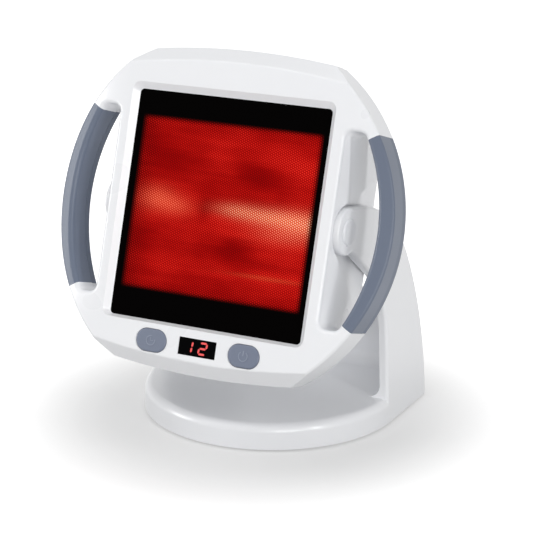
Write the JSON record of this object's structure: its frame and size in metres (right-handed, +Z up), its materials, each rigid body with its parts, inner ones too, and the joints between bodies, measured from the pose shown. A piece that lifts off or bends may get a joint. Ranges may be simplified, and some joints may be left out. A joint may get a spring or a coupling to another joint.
{
  "type": "infrared heat therapy lamp",
  "caption": "Tabletop infrared heat lamp: square glass radiating head with bow grips, buttons and a timer display, tilting between the arms of a round-fronted stand.",
  "frame": {"origin": "on the table, in the middle of the footprint box of the whole lamp", "axes": "+X to the right as seen from the front, +Y to the back, +Z up"},
  "size_m": [0.259, 0.1861, 0.2755],
  "materials": {
    "white_shell": "glossy moulded plastic",
    "white_trim": "satin moulded plastic",
    "grip_grey": "satin grey-blue plastic",
    "grip_back_grey": "satin grey-blue plastic",
    "button_grey": "satin grey-blue plastic",
    "black_glass": "polished dark glass ceramic",
    "display_black": "polished black lens",
    "display_red": "lit red figures",
    "rubber_grey": "matt",
    "gasket_black": "matt",
    "board_green": "laminate",
    "part_black": "matt moulded",
    "reflector_metal": "bright rolled",
    "sheet_metal": "plain sheet",
    "steel": "plated",
    "ballast_steel": "plain",
    "quartz": "clear",
    "filament_metal": "glowing",
    "ceramic": "unglazed",
    "terminal_white": "matt moulded"
  },
  "bodies": {
    "stand": {"arm_cover_screws": "steel", "ballast_plate": "ballast_steel", "base_plate": "part_black", "base_screws": "steel", "cord_gland": "part_black", "left_arm_cover": "white_trim", "left_hub_bush": "part_black", "left_hub_cap": "white_trim", "right_arm_cover": "white_trim", "right_hub_bush": "part_black", "right_hub_cap": "white_trim", "rubber_feet": "rubber_grey", "stand_shell": "white_shell"},
    "head": {"board_screws": "steel", "control_board": "board_green", "display_module": "display_red", "display_window": "display_black", "fan_frame": "part_black", "fan_screws": "steel", "front_bezel": "white_shell", "glass_gasket": "gasket_black", "glass_panel": "black_glass", "grip_screws": "steel", "heat_shield": "sheet_metal", "housing_screws": "steel", "infrared_tube": "quartz", "key_switches": "part_black", "left_friction_washer": "gasket_black", "left_grip": "grip_grey", "left_grip_back": "grip_back_grey", "left_pivot_screw": "steel", "left_tube_holder": "ceramic", "pivot_nuts": "steel", "power_board": "board_green", "rear_housing": "white_shell", "reflector": "reflector_metal", "right_friction_washer": "gasket_black", "right_grip": "grip_grey", "right_grip_back": "grip_back_grey", "right_pivot_screw": "steel", "right_tube_holder": "ceramic", "shield_screws": "steel", "terminal_block": "terminal_white", "thermal_cutout": "sheet_metal", "tube_filament": "filament_metal"},
    "timer_button": {"timer_button": "button_grey"},
    "power_button": {"power_button": "button_grey"},
    "fan_rotor": {"fan_rotor": "part_black"}
  },
  "joints": [
    {"name": "head_tilt", "type": "hinge", "parent": "stand", "child": "head", "pos_m": [0, -0.0414, 0.1634], "axis": [-1, 0, 0], "range_deg": [-18, 17]},
    {"name": "timer_press", "type": "slide", "parent": "head", "child": "timer_button", "axis": [0, 0.9511, -0.309], "range_m": [0, 0.0008], "stiffness_N_per_m": 800, "springref_m": -0.0008},
    {"name": "power_press", "type": "slide", "parent": "head", "child": "power_button", "axis": [0, 0.9511, -0.309], "range_m": [0, 0.0008], "stiffness_N_per_m": 800, "springref_m": -0.0008},
    {"name": "fan_spin", "type": "hinge", "parent": "head", "child": "fan_rotor", "pos_m": [0, 0.0071, 0.14764], "axis": [0, -0.9511, 0.309], "continuous": true}
  ]
}
